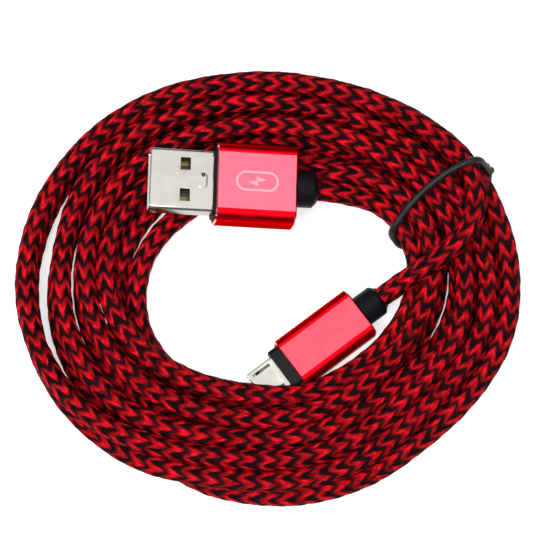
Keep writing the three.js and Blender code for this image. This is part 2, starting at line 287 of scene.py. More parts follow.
def solid_tree(names):
    """One search tree over the faces of several nodes."""
    points, faces = [], []
    for name in names:
        start = len(points)
        points += [v.co.copy() for v in nodes[name].data.vertices]
        faces += [tuple(start + i for i in face.vertices) for face in nodes[name].data.polygons]
    return BVHTree.FromPolygons(points, faces)


def near_pairs(line, gap):
    """Pairs of points of one line that are near each other but not neighbours along it."""
    far = np.linalg.norm(line[:, None, :] - line[None, :, :], axis=2)
    i, j = np.nonzero(far < gap)
    apart = j - i > NEIGHBOURS
    return i[apart], j[apart]


def push_apart(line, free, i, j):
    """Moves near points of the cord apart to a cord's width, and keeps them on the table."""
    between = line[i] - line[j]
    far = np.maximum(np.linalg.norm(between, axis=1), TINY)
    short = np.maximum(2 * CORD_RADIUS - far, 0)
    push = 0.5 * (short / far)[:, None] * between
    moved, times = np.zeros_like(line), np.zeros(len(line))
    np.add.at(moved, i, push)
    np.add.at(moved, j, -push)
    np.add.at(times, i, short > 0)
    np.add.at(times, j, short > 0)
    line[free] += PUSH * (moved / np.maximum(times, 1)[:, None])[free]
    line[:, 2] = np.maximum(line[:, 2], CORD_RADIUS + ABOVE_TABLE)


def settle(line):
    """Lets the cord down onto the table and itself, each stretch held loosely in its lane."""
    lane = line.copy()
    solids = solid_tree(OBSTACLES)
    free = np.ones(len(line), bool)
    free[:HELD_POINTS] = free[-HELD_POINTS:] = False
    stiff = np.full((len(line), 1), STIFFNESS)
    stiff[-LOOSE_POINTS:] = LOOSE_STIFFNESS
    for turn in range(SETTLE_ROUNDS):
        if turn % LOOK_EVERY == 0:
            i, j = near_pairs(line, 2 * CORD_RADIUS + NEAR)
        line[free, 2] -= DROP
        slip = line - lane
        slip[:, 2] = line[:, 2]
        eased = slip.copy()
        bent = (slip[:-2 * REACH] + slip[2 * REACH:]) / 2 - slip[REACH:-REACH]
        eased[REACH:-REACH] += stiff[REACH:-REACH] * bent
        eased[1:-1] += FINE_STIFFNESS * ((slip[:-2] + slip[2:]) / 2 - slip[1:-1])
        eased[:, :2] *= LANE_HOLD
        eased[:, :2] += lane[:, :2]
        line[free] = eased[free]
        for _ in range(PUSHES):
            push_apart(line, free, i, j)
        for k in np.nonzero(free)[0]:
            place, normal, _, far = solids.find_nearest(Vector(line[k]), CORD_RADIUS)
            if place is None:
                continue
            outward = Vector(line[k]) - place
            outward = outward.normalized() if outward.dot(normal) > 0 and far > TINY else normal
            line[k] = place + CORD_RADIUS * outward
    for _ in range(LAST_SMOOTHING):
        line[1:-1] = (line[:-2] + 2 * line[1:-1] + line[2:]) / 4
    return line


host_end = into_boot(host_place, HOST_EXIT)
device_end = into_boot(device_place, DEVICE_EXIT)
route = [host_end, *HOST_LEAD, *wind_coil(), *reversed(DEVICE_LEAD), device_end]
cord_line = settle(even_steps(np.array(route), SETTLE_STEP))


# ---- The braided cord ----
# Red and black nylon yarns are braided over the jacket by machine, in five zigzags round it.
# The two colours lie as nested chevrons, each yarn rounded, with grooves between them.
# Each red yarn is painted darker towards its edges and arm ends: painted shade in the grooves and crossings.

CHEVRON_PITCH = 0.0035
CHEVRON_RISE = 0.7
ZIGZAGS = 5
CORD_SIDES = 20
YARN_RELIEF = 0.00026
RING_STEP, SHEAR_FROM = 0.0004, 0.1
TWISTS = [(0.35, 0.047, 0), (0.25, 0.113, 1)]
ROUNDING, LUMPS = 0.2, 0.3
RELIEF_MIDDLE = 0.6
RED_HALF, RED_MIDDLE = 0.42, 0.5
RED_THINNING, RED_CHANCE = 0.2, 0.16
STITCHES, STITCH_LEAN = 2, 0.1
FILAMENT_RAG, BUNDLE_RAG = 0.34, 0.4
YARN_PROFILE = [(0.0, 0.0), (0.09, 0.8), (0.29, 1.0), (0.49, 0.8), (0.58, 0.0), (0.68, 0.7), (0.9, 0.6)]


def cord_frames(line):
    """The direction of a lying cord at each point, and its own up and side."""
    ahead = np.gradient(line, axis=0)
    ahead /= np.linalg.norm(ahead, axis=1)[:, None]
    side = np.cross(ahead, (0, 0, 1.0))
    side /= np.linalg.norm(side, axis=1)[:, None]
    return ahead, np.cross(side, ahead), side


def ring_mesh(rings, closed=False):
    """Points and faces of a skin over rings of equal count, with ends filled unless it is closed."""
    rings = np.asarray(rings)
    count, sides = rings.shape[:2]
    faces = []
    for r in range(count if closed else count - 1):
        a, b = r * sides, (r + 1) % count * sides
        for s in range(sides):
            t = (s + 1) % sides
            faces.append((a + s, a + t, b + t, b + s))
    if not closed:
        faces.append(tuple(range(sides))[::-1])
        faces.append(tuple(range((count - 1) * sides, count * sides)))
    return rings.reshape(-1, 3), faces


def braid_tube(line):
    """The braided tube's points, faces and the yarn places of its face corners."""
    line = even_steps(line, RING_STEP)
    along = np.concatenate([[0], np.cumsum(np.linalg.norm(np.diff(line, axis=0), axis=1))])
    pitches = round(along[-1] / CHEVRON_PITCH)
    rings = np.array([(n + p, h) for n in range(pitches) for p, h in YARN_PROFILE] + [(pitches, 0)])
    turn, height = rings[:, :1], rings[:, 1:]
    shear = CHEVRON_RISE * np.clip(np.minimum(turn, pitches - turn) - SHEAR_FROM, 0, 1)
    side = np.arange(CORD_SIDES + 1) / CORD_SIDES
    rise = 1 - np.abs(2 * ((side * ZIGZAGS) % 1) - 1)
    place = turn + shear * rise[None, :]
    at = np.clip(place * along[-1] / pitches, 0, along[-1])
    ahead, up, across = cord_frames(line)
    middle, up, across = (
        np.stack([np.interp(at, along, rows[:, k]) for k in range(3)], axis=2)
        for rows in (line, up, across)
    )
    twist = sum(most * np.sin(at / length + start) for most, length, start in TWISTS)
    angle = 2 * np.pi * side[None, :] + twist
    relief = height * (1 - ROUNDING + ROUNDING * np.sin(np.pi * rise))[None, :]
    relief = relief + LUMPS * np.sin(2.1 * turn + 11 * side) * np.sin(0.83 * turn + 23 * side)
    radius = CORD_RADIUS + YARN_RELIEF * (relief - RELIEF_MIDDLE)
    outward = np.cos(angle)[..., None] * up + np.sin(angle)[..., None] * across
    points = middle + radius[..., None] * outward
    points, faces = ring_mesh(points[:, :CORD_SIDES])
    places = []
    for r in range(len(rings) - 1):
        for s in range(CORD_SIDES):
            corners = ((r, s), (r, s + 1), (r + 1, s + 1), (r + 1, s))
            places += [(side[k], place[q, k]) for q, k in corners]
    places += [(0, 0)] * (2 * CORD_SIDES)
    return points, faces, places


def math_node(tree, operation, a, b=None, c=None):
    """A Math node whose inputs are sockets or numbers. Returns its output."""
    made = tree.nodes.new("ShaderNodeMath")
    made.operation = operation
    for socket, value in zip(made.inputs, (a, b, c)):
        if isinstance(value, (int, float)):
            socket.default_value = value
        elif value is not None:
            tree.links.new(value, socket)
    return made.outputs[0]


def ramp_node(tree, value, stops):
    """A colour ramp on a value, from (place, colour) stops."""
    made = tree.nodes.new("ShaderNodeValToRGB")
    while len(made.color_ramp.elements) < len(stops):
        made.color_ramp.elements.new(1)
    for element, (place, color) in zip(made.color_ramp.elements, stops):
        element.position = place
        element.color = (*color, 1)
    tree.links.new(value, made.inputs[0])
    return made.outputs["Color"]


def grey_ramp(tree, value, stops):
    """A ramp of greys on a value, from (place, level) stops."""
    return ramp_node(tree, value, [(place, (level, level, level)) for place, level in stops])


def noise_node(tree, place, detail, scale=1):
    """Noise at a place given by three sockets or numbers."""
    join = tree.nodes.new("ShaderNodeCombineXYZ")
    for socket, value in zip(join.inputs, place):
        if isinstance(value, (int, float)):
            socket.default_value = value
        else:
            tree.links.new(value, socket)
    made = tree.nodes.new("ShaderNodeTexNoise")
    made.inputs["Scale"].default_value = scale
    made.inputs["Detail"].default_value = detail
    tree.links.new(join.outputs[0], made.inputs["Vector"])
    return made.outputs["Fac"]


def multiply_node(tree, a, b):
    """Two colours multiplied."""
    made = tree.nodes.new("ShaderNodeMix")
    made.data_type = "RGBA"
    made.blend_type = "MULTIPLY"
    made.inputs["Factor"].default_value = 1
    tree.links.new(a, made.inputs[6])
    tree.links.new(b, made.inputs[7])
    return made.outputs[2]


def arm_chance(tree, yarn, zigzag):
    """A chance value that is the same all along one arm of one chevron."""
    join = tree.nodes.new("ShaderNodeCombineXYZ")
    tree.links.new(math_node(tree, "FLOOR", yarn), join.inputs[0])
    tree.links.new(math_node(tree, "FLOOR", math_node(tree, "MULTIPLY", zigzag, 2)), join.inputs[1])
    made = tree.nodes.new("ShaderNodeTexWhiteNoise")
    made.noise_dimensions = "2D"
    tree.links.new(join.outputs[0], made.inputs["Vector"])
    return made.outputs["Value"]


def braid_finish():
    """Nylon yarns: the colour follows the chevrons, with painted shade at the red yarns' edges and arm ends,
    and fine filaments run along each yarn.
    """
    material, shader = finish("red and black braid", Roughness=0.65, Specular_IOR_Level=0.05)
    tree = material.node_tree
    uv = tree.nodes.new("ShaderNodeUVMap")
    uv.uv_map = "yarn"
    split = tree.nodes.new("ShaderNodeSeparateXYZ")
    tree.links.new(uv.outputs["UV"], split.inputs[0])
    round_it, along = split.outputs["X"], split.outputs["Y"]
    zigzag = math_node(tree, "MULTIPLY", round_it, ZIGZAGS)
    rise = math_node(tree, "MULTIPLY", math_node(tree, "PINGPONG", zigzag, 0.5), 2)
    yarn = math_node(tree, "SUBTRACT", along, math_node(tree, "MULTIPLY", rise, CHEVRON_RISE))
    filament = noise_node(tree, [
        math_node(tree, "MULTIPLY", yarn, 20),
        math_node(tree, "MULTIPLY", rise, 2.4),
        math_node(tree, "MULTIPLY", round_it, 4),
    ], 3)
    bundle = noise_node(tree, [
        math_node(tree, "MULTIPLY", along, 1.9),
        math_node(tree, "MULTIPLY", round_it, 13),
        0.5,
    ], 2)
    chance = arm_chance(tree, yarn, zigzag)
    stitch = math_node(tree, "FRACT", math_node(tree, "MULTIPLY", rise, STITCHES))
    stitched = math_node(tree, "MULTIPLY_ADD", stitch, STITCH_LEAN, yarn)
    ragged = math_node(tree, "MULTIPLY_ADD", bundle, BUNDLE_RAG, stitched)
    ragged = math_node(tree, "MULTIPLY_ADD", filament, FILAMENT_RAG, ragged)
    phase = math_node(tree, "FRACT", ragged)
    middle = math_node(tree, "ABSOLUTE", math_node(tree, "SUBTRACT", phase, RED_MIDDLE))
    thick = math_node(tree, "MULTIPLY_ADD", chance, RED_CHANCE, RED_HALF - RED_CHANCE / 2)
    thin_end = math_node(tree, "MULTIPLY", math_node(tree, "POWER", rise, 1.6), -RED_THINNING)
    half = math_node(tree, "MAXIMUM", math_node(tree, "ADD", thick, thin_end), 0.02)
    cover = math_node(tree, "DIVIDE", middle, half)
    # The red fades through dark red towards each yarn's edges before the black yarn begins: painted shade in
    # the grooves between yarns.
    yarn_colour_and_groove_shade = ramp_node(tree, cover, [
        (0.0, (0.54, 0.004, 0.011)),
        (0.35, (0.42, 0.002, 0.008)),
        (0.68, (0.2, 0.0008, 0.004)),
        (0.9, (0.06, 0.0006, 0.002)),
        (1.0, (0.015, 0.0012, 0.0025)),
    ])
    streak = grey_ramp(tree, filament, [(0.32, 0.2), (0.5, 0.85), (0.68, 1.9)])
    patch = grey_ramp(tree, bundle, [(0.32, 0.35), (0.6, 1.25)])
    # Each arm is darkened towards its end, where it dips under the crossing yarns: painted shade.
    painted_crossing_shade = grey_ramp(tree, rise, [(0.35, 1), (1.0, 0.45)])
    color = yarn_colour_and_groove_shade
    for shade in (streak, patch, painted_crossing_shade):
        color = multiply_node(tree, color, shade)
    tree.links.new(color, shader.inputs["Base Color"])
    bump = tree.nodes.new("ShaderNodeBump")
    bump.inputs["Strength"].default_value = 0.9
    bump.inputs["Distance"].default_value = 0.0002
    tree.links.new(filament, bump.inputs["Height"])
    tree.links.new(bump.outputs[0], shader.inputs["Normal"])
    return material


braid_points, braid_faces, braid_places = braid_tube(cord_line)
cord = mesh_piece("braided_cord", braid_points, braid_faces, braid_finish())
yarn_places = cord.data.uv_layers.new(name="yarn")
yarn_places.data.foreach_set("uv", np.array(braid_places, np.float32).ravel())
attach(cord, "root")
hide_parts("cord_coil", "cord_lead_host", "cord_lead_device")


# ---- The wire tie ----
# A soft wire in a black plastic coating, bent by hand once round the bundle at the back right.
# It is pulled tight on the outer side, and stands a little slack where it turns under inside.

TIE_RADIUS, TIE_SIDES = 0.0007, 16
TIE_STEP, TIE_PULLS = 0.0004, 1100
TIE_LAP, TIE_STUB = 6, 0.0011
CORD_STEP, CORD_REACH = 0.0005, 0.009
SEAM_FLAT, SEAM_WIDTH = 0.07, 0.35
TIE_ROUTE = [
    (0.04425, 0.0183, 0.0056),
    (0.04325, 0.0196, 0.0069),
    (0.04165, 0.0213, 0.0092),
    (0.03965, 0.0225, 0.0112),
    (0.03755, 0.0222, 0.0120),
    (0.03295, 0.0195, 0.0108),
    (0.02765, 0.0149, 0.0093),
    (0.02495, 0.0112, 0.0076),
    (0.02435, 0.0084, 0.0050),
    (0.02535, 0.0062, 0.0022),
    (0.02815, 0.0066, 0.00095),
    (0.03335, 0.0106, 0.0009),
    (0.04015, 0.0154, 0.00095),
    (0.04335, 0.0173, 0.0020),
    (0.04425, 0.0181, 0.0039),
]
SLACK_BEND = Vector((0.0252, 0.0068, 0.003))
SLACK_WIDTH = 0.006


def tighten(route):
    """Pulls the closed loop in until it lies on the cord, all but its slack inner bend."""
    line = even_steps(np.array([*route, route[0]]), TIE_STEP)[:-1]
    cord_middle = even_steps(cord_line, CORD_STEP)
    apart = np.linalg.norm(cord_middle[:, None] - line[None, ::8], axis=2).min(1)
    cord_middle = cord_middle[apart < CORD_REACH]
    from_slack = np.linalg.norm(line - SLACK_BEND, axis=1) / SLACK_WIDTH
    pull = 0.5 * np.clip(from_slack - 0.4, 0, 1)[:, None]
    rows = np.arange(len(line))
    for _ in range(TIE_PULLS):
        line += pull * ((np.roll(line, 1, axis=0) + np.roll(line, -1, axis=0)) / 2 - line)
        between = line[:, None] - cord_middle[None]
        far = np.linalg.norm(between, axis=2)
        nearest = far.argmin(1)
        far = np.maximum(far[rows, nearest], TINY)
        short = np.maximum(CORD_RADIUS + TIE_RADIUS - far, 0)
        line += (short / far)[:, None] * between[rows, nearest]
        line[:, 2] = np.maximum(line[:, 2], TIE_RADIUS + ABOVE_TABLE)
    return line


def bent_ends(loop):
    """The loop opened where its ends meet: they lie side by side, and one stands out as a stub."""
    outward = loop[0] - loop.mean(0)
    outward /= np.linalg.norm(outward)
    beside = np.cross(loop[1] - loop[-1], outward)
    beside /= np.linalg.norm(beside)
    step = np.linspace(0, 1, TIE_LAP)[:, None]
    line = np.concatenate([loop, loop[:TIE_LAP]])
    line[-TIE_LAP:] += TIE_RADIUS * (2.1 * step * beside + 0.6 * step ** 2 * outward)
    line[:TIE_LAP] += step[::-1] ** 2 * TIE_STUB * outward
    return line


def rubber_tube(line, radius, sides):
    """A round tube on a line, with domed ends and a faint flat along its moulded seam."""
    ahead = np.gradient(line, axis=0)
    ahead /= np.linalg.norm(ahead, axis=1)[:, None]
    side = np.zeros_like(line)
    side[0] = np.cross(ahead[0], (0, 0, 1.0))
    for k in range(1, len(line)):
        side[k] = side[k - 1] - ahead[k] * (side[k - 1] @ ahead[k])
        side[k] /= np.linalg.norm(side[k])
    side[0] /= np.linalg.norm(side[0])
    up = np.cross(side, ahead)
    along = np.concatenate([[0], np.cumsum(np.linalg.norm(np.diff(line, axis=0), axis=1))])
    from_end = np.minimum(along, along[-1] - along) / radius
    dome = np.sqrt(np.clip(1 - (1 - np.clip(from_end, 0, 1)) ** 2, 0.02, 1))
    angle = 2 * np.pi * np.arange(sides) / sides
    seam = 1 - SEAM_FLAT * np.exp(-((angle - np.pi) / SEAM_WIDTH) ** 2)
    size = radius * dome[:, None] * seam[None, :] * (1 + 0.02 * np.sin(along / 0.0011))[:, None]
    outward = np.cos(angle)[:, None] * up[:, None] + np.sin(angle)[:, None] * side[:, None]
    return ring_mesh(line[:, None] + size[..., None] * outward)


def noise_texture(tree, vector, scale, detail):
    """Noise on a vector socket."""
    made = tree.nodes.new("ShaderNodeTexNoise")
    made.inputs["Scale"].default_value = scale
    made.inputs["Detail"].default_value = detail
    tree.links.new(vector, made.inputs["Vector"])
    return made.outputs["Fac"]


def grained(name, scale, strength, depth, roughness, tints, stretch=(1, 1, 1), **sockets):
    """A new material with fine grain in the row's own space, and a spread of roughness and colour."""
    material, shader = finish(name, **sockets)
    tree = material.node_tree
    where = tree.nodes.new("ShaderNodeTexCoord").outputs["Object"]
    move = tree.nodes.new("ShaderNodeMapping")
    move.inputs["Scale"].default_value = stretch
    tree.links.new(where, move.inputs["Vector"])
    fine = noise_texture(tree, move.outputs[0], scale, 4)
    broad = noise_texture(tree, where, scale / 14, 3)
    bump = tree.nodes.new("ShaderNodeBump")
    bump.inputs["Strength"].default_value = strength
    bump.inputs["Distance"].default_value = depth
    tree.links.new(fine, bump.inputs["Height"])
    tree.links.new(bump.outputs[0], shader.inputs["Normal"])
    span = tree.nodes.new("ShaderNodeMapRange")
    span.inputs["To Min"].default_value, span.inputs["To Max"].default_value = roughness
    tree.links.new(broad, span.inputs["Value"])
    tree.links.new(span.outputs[0], shader.inputs["Roughness"])
    color = ramp_node(tree, broad, [(0.35, tints[0]), (0.65, tints[1])])
    tree.links.new(color, shader.inputs["Base Color"])
    return material


tie_coating = grained(
    "black tie coating", 9000, 0.35, 0.00004, (0.38, 0.52),
    ((0.005, 0.005, 0.006), (0.011, 0.011, 0.013)), Specular_IOR_Level=0.18,
)
tie_line = bent_ends(tighten(TIE_ROUTE))
tie = mesh_piece("coated_wire_tie", *rubber_tube(tie_line, TIE_RADIUS, TIE_SIDES), tie_coating)
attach(tie, "root")
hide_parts("wire_tie")


# ---- The host plug's shell ----
# One strip of steel is folded round, joined along the underside and plated with bright nickel.
# Both wide faces have two square windows for the socket's springs, and the top one a pressed tab.

FLAT_FROM, SHARP_ANGLE, EASED_ANGLE = 2.5, 32, 35
SHELL_WIDTH, SHELL_HEIGHT, SHELL_WALL = 12.0, 4.5, 0.3
SHELL_CORNER, SHELL_EASE = 0.75, 0.05
SHELL_FRONT, SHELL_BACK = 12.6, -6.2
WINDOW_FROM, WINDOW_TO, WINDOW_WIDTH, WINDOW_SIDE = 4.9, 6.8, 2.4, 3.05


def rounded(width, height, corner, steps=6):
    """A rectangle across the plug with round corners, as (y, z) points in mm."""
    outline = []
    for quarter, (y, z) in enumerate(((1, 1), (-1, 1), (-1, -1), (1, -1))):
        for step in range(steps + 1):
            turn = math.pi / 2 * (quarter + step / steps)
            outline.append((
                y * (width / 2 - corner) + corner * math.cos(turn),
                z * (height / 2 - corner) + corner * math.sin(turn),
            ))
    return outline


def across(outline, x):
    """A plug outline stood at a place along the plug's axis."""
    return [(x, y, z) for y, z in outline]


def bar_mesh(outline, start, end):
    """A solid bar with that outline between two places along the plug."""
    return ring_mesh([across(outline, start), across(outline, end)])


def plan(x_low, x_high, y_from, y_to):
    """A rectangle seen from above the plug, as (x, y) corners in mm."""
    return [(x_low, y_from), (x_high, y_from), (x_high, y_to), (x_low, y_to)]


def prism(corners, low, high):
    """An upright solid on (x, y) corners, between two heights."""
    return solid(*ring_mesh([[(x, y, z) for x, y in corners] for z in (low, high)]))


def solid(points, faces):
    """A loose object in the plug's own mm, with its faces turned outward."""
    mesh = bpy.data.meshes.new("solid")
    mesh.from_pydata([tuple(p) for p in points], [], faces)
    work = bmesh.new()
    work.from_mesh(mesh)
    bmesh.ops.recalc_face_normals(work, faces=work.faces)
    work.to_mesh(mesh)
    work.free()
    made = bpy.data.objects.new("solid", mesh)
    scene.collection.objects.link(made)
    return made


def bake(body):
    """Applies the body's modifiers to its mesh."""
    bpy.context.view_layer.update()
    ready = body.evaluated_get(bpy.context.evaluated_depsgraph_get())
    mesh = bpy.data.meshes.new_from_object(ready)
    body.modifiers.clear()
    body.data = mesh


def cut_away(body, tools):
    """Cuts the tools out of the body and throws them away."""
    for tool in tools:
        knife = body.modifiers.new("cut", "BOOLEAN")
        knife.object = tool
        knife.operation = "DIFFERENCE"
        knife.solver = "EXACT"
    bake(body)
    for tool in tools:
        bpy.data.objects.remove(tool)


def ease_edges(body, width):
    """Breaks the sharp edges, as plating and tumbling do."""
    soft = body.modifiers.new("ease", "BEVEL")
    soft.width = width
    soft.segments = 2
    soft.limit_method = "ANGLE"
    soft.angle_limit = math.radians(EASED_ANGLE)
    soft.use_clamp_overlap = True
    bake(body)


def fit(body, name, place, material, slot, *stands_for):
    """Names a finished solid, lays it in the row frame and gives it its finish and body. Its slot is not
    used.
    """
    body.name = name
    body.data.name = name
    body.data.transform(place @ Matrix.Scale(MM, 4))
    body.data.materials.clear()
    body.data.materials.append(material)
    broad = FLAT_FROM * MM * MM
    smooth = [face.area < broad for face in body.data.polygons]
    body.data.polygons.foreach_set("use_smooth", smooth)
    body.data.set_sharp_from_angle(angle=math.radians(SHARP_ANGLE))
    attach(body, "root")
    if stands_for:
        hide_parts(*stands_for)


def folded_shell(sections, cuts, ease):
    """A shell from closed rings: outside from the back to the mouth, then inside to the back."""
    body = solid(*ring_mesh(sections, closed=True))
    cut_away(body, cuts)
    ease_edges(body, ease)
    return body


nickel = grained(
    "bright nickel", 5200, 0.05, 0.00003, (0.16, 0.3),
    ((0.295, 0.285, 0.262), (0.32, 0.31, 0.287)), stretch=(1, 0.12, 1), Metallic=1.0,
)

MOUTH_LEAD_IN, SEAM_HALF, PAST_END = 0.22, 0.04, 1
outside = rounded(SHELL_WIDTH, SHELL_HEIGHT, SHELL_CORNER)
narrowed = rounded(
    SHELL_WIDTH - 2 * MOUTH_LEAD_IN, SHELL_HEIGHT - 2 * MOUTH_LEAD_IN, SHELL_CORNER - MOUTH_LEAD_IN / 2,
)
inside = rounded(SHELL_WIDTH - 2 * SHELL_WALL, SHELL_HEIGHT - 2 * SHELL_WALL, SHELL_CORNER - SHELL_WALL)
host_cuts = []
for side in (WINDOW_SIDE, -WINDOW_SIDE):
    window = plan(WINDOW_FROM, WINDOW_TO, side - WINDOW_WIDTH / 2, side + WINDOW_WIDTH / 2)
    host_cuts.append(prism(window, -SHELL_HEIGHT, SHELL_HEIGHT))
seam = plan(SHELL_BACK - PAST_END, SHELL_FRONT + PAST_END, -SEAM_HALF, SEAM_HALF)
host_cuts.append(prism(seam, -SHELL_HEIGHT, -SHELL_HEIGHT / 2 + SHELL_WALL / 2))
host_shell = folded_shell([
    across(outside, SHELL_BACK),
    across(outside, SHELL_FRONT - 0.5),
    across(narrowed, SHELL_FRONT),
    across(inside, SHELL_FRONT - 0.12),
    across(inside, SHELL_BACK),
], host_cuts, SHELL_EASE)
fit(host_shell, "host_plug_shell", host_place, nickel, "bright_nickel", "host_shell")

# The tab is pressed up from the top face and has a small punched hole at one end. The hole is not cut: a
# dark raised patch on the face stands in for it, painted shade of the hollow shell below.
TAB_MIDDLE = (2.45, 0.1)
TAB_HALF_LENGTH, TAB_HALF_WIDTH, TAB_RISE = 1.6, 0.85, 0.1
HOLE_MIDDLE = (TAB_MIDDLE[0], TAB_MIDDLE[1] - 1.15)
HOLE_HALF_LENGTH, HOLE_HALF_WIDTH = 0.42, 0.34


def stadium(half_length, half_width, steps=12):
    """An outline with round ends, long across the plug, as (x, y) offsets in mm."""
    outline = []
    for end in (1, -1):
        for step in range(steps + 1):
            turn = math.pi * (step / steps + (0 if end > 0 else 1))
            middle = end * (half_length - half_width)
            outline.append((half_width * math.cos(turn), middle + half_width * math.sin(turn)))
    return outline


def raised(outline_of, levels, middle, height):
    """A shape built up on a plug's face from (inset, rise) levels, closed on top."""
    rings = []
    for inset, rise in levels:
        rings.append([(middle[0] + x, middle[1] + y, height + rise) for x, y in outline_of(inset)])
    return solid(*ring_mesh(rings))


top_face = SHELL_HEIGHT / 2
tab = raised(
    lambda inset: stadium(TAB_HALF_LENGTH - inset, TAB_HALF_WIDTH - inset),
    [(0, -0.1), (0, 0.0), (0.1, 0.04), (0.24, TAB_RISE - 0.02), (0.4, TAB_RISE)],
    TAB_MIDDLE, top_face,
)
fit(tab, "host_shell_tab", host_place, nickel, "bright_nickel")
# The hole's dark colour is painted shade, where the shell's hollow inside would be seen.
painted_hole_shade = grained(
    "painted shade of the punched hole", 6000, 0.3, 0.00003, (0.5, 0.7),
    ((0.006, 0.006, 0.006), (0.02, 0.02, 0.018)), color=(0.01, 0.01, 0.01), Roughness=0.6,
)
punched = raised(
    lambda inset: stadium(HOLE_HALF_LENGTH - inset, HOLE_HALF_WIDTH - inset),
    [(0, 0.0), (0, 0.1), (0.06, 0.12), (0.12, 0.09)], HOLE_MIDDLE, top_face + 0.03,
)
fit(punched, "host_shell_tab_hole", host_place, painted_hole_shade, "insulator")


# ---- The host plug's sleeve ----
# A drawn aluminium tube with polished round corners and satin wide faces, anodised red and then
# cut bright at both ends. It is pushed over the core and glued.
# The wide faces are coloured a paler pink than the corners: a painted highlight of the lamp overhead.

HOST_SLEEVE_HEIGHT = 8.0
SLEEVE_EDGE = 0.28
SLEEVE_SIDES = 44
WIDE_FACE = 80

# The wide faces' paler pink base colour is a painted highlight; their satin roughness is their own.
red_satin_and_painted_highlight = grained(
    "satin red anodised face with painted highlight", 6500, 0.14, 0.00003, (0.34, 0.44),
    ((0.8, 0.1, 0.15), (0.86, 0.115, 0.168)), Metallic=0.9,
)
red_polished = grained(
    "polished red anodised side", 6500, 0.06, 0.00002, (0.24, 0.34),
    ((0.5, 0.001, 0.005), (0.57, 0.002, 0.008)), Metallic=1.0, Specular_Tint=(0.4, 0.0, 0.006, 1),
)


def drawn_sleeve(width, height, corner, length, wall):
    """A round-cornered tube with a fine chamfer at both ends."""
    edge = SLEEVE_EDGE
    steps = SLEEVE_SIDES // 4 - 1
    full = rounded(width, height, corner, steps)
    cut = rounded(width - 2 * edge, height - 2 * edge, corner - edge, steps)
    bore = rounded(width - 2 * wall, height - 2 * wall, corner - wall, steps)
    rings = [
        across(bore, -length), across(cut, -length), across(full, -length + edge),
        across(full, -edge), across(cut, 0), across(bore, 0),
    ]
    return solid(*ring_mesh(rings, closed=True))


def finish_zones(sleeve, face_finish_and_highlight):
    """Polished corners and sides, satin wide faces in a paler pink that is a painted highlight, and bright
    cut chamfers at both ends.
    """
    sleeve.data.materials.append(face_finish_and_highlight)
    sleeve.data.materials.append(bright_cut)
    for number, face in enumerate(sleeve.data.polygons):
        if number // SLEEVE_SIDES in (1, 3):
            face.material_index = 2
        elif number // SLEEVE_SIDES == 2 and face.area > WIDE_FACE * MM * MM:
            face.material_index = 1


bright_cut = grained(
    "bright cut red edge", 8000, 0.06, 0.00002, (0.14, 0.24),
    ((0.95, 0.2, 0.27), (1.0, 0.34, 0.4)), Metallic=1.0,
)
host_sleeve = drawn_sleeve(width=15.5, height=HOST_SLEEVE_HEIGHT, corner=2.3, length=15.4, wall=0.8)
fit(host_sleeve, "host_plug_sleeve", host_place, red_polished, "red_anodised", "host_sleeve")
finish_zones(host_sleeve, red_satin_and_painted_highlight)

# The mark on the sleeve's face is burnt through the colour to a pale matt line:
# a plain charging sign, a bolt in a capsule.
MARK_MIDDLE = (-7.7, 0.0)
MARK_LOW, MARK_HIGH = HOST_SLEEVE_HEIGHT / 2 - 0.05, HOST_SLEEVE_HEIGHT / 2 + 0.035
CAPSULE_HALF_LENGTH, CAPSULE_HALF_WIDTH, CAPSULE_LINE = 4.1, 1.95, 0.42
BOLT = [(1.75, 0.25), (-0.25, 0.95), (-0.02, 0.16), (-1.75, -0.25), (0.25, -0.95), (0.02, -0.16)]


def on_face(outline, height):
    """An outline placed round the mark's middle at a height."""
    return [(MARK_MIDDLE[0] + x, MARK_MIDDLE[1] + y, height) for x, y in outline]


def lengthways(outline):
    """The same outline turned to lie along the plug."""
    return [(y, -x) for x, y in outline]


etched = grained(
    "pale etched mark", 7000, 0.4, 0.00003, (0.5, 0.62),
    ((0.85, 0.24, 0.28), (0.9, 0.32, 0.36)), Metallic=0.3,
)
outer = lengthways(stadium(CAPSULE_HALF_LENGTH, CAPSULE_HALF_WIDTH, 20))
inner = lengthways(stadium(CAPSULE_HALF_LENGTH - CAPSULE_LINE, CAPSULE_HALF_WIDTH - CAPSULE_LINE, 20))
capsule = solid(*ring_mesh([
    on_face(outer, MARK_LOW), on_face(outer, MARK_HIGH), on_face(inner, MARK_HIGH), on_face(inner, MARK_LOW),
], closed=True))
fit(capsule, "charge_mark_capsule", host_place, etched, "red_anodised")
bolt = solid(*ring_mesh([on_face(BOLT, MARK_LOW), on_face(BOLT, MARK_HIGH)]))
fit(bolt, "charge_mark_bolt", host_place, etched, "red_anodised")


# ---- The host plug's core and boot ----
# The core is moulded round the shell's back and fills the sleeve. A thin lip of it shows in front.
# The boot is a short soft barrel behind the sleeve, which the cord comes out of.

BOOT_SIDES, BOOT_BORE = 48, 2.1
CORE_LIP, JACKET_BORE = 0.22, 1.5


def round_outline(radius, sides=BOOT_SIDES):
    """A circle across the plug, as (y, z) points in mm."""
    turns = [2 * math.pi * k / sides for k in range(sides)]
    return [(radius * math.cos(turn), radius * math.sin(turn)) for turn in turns]


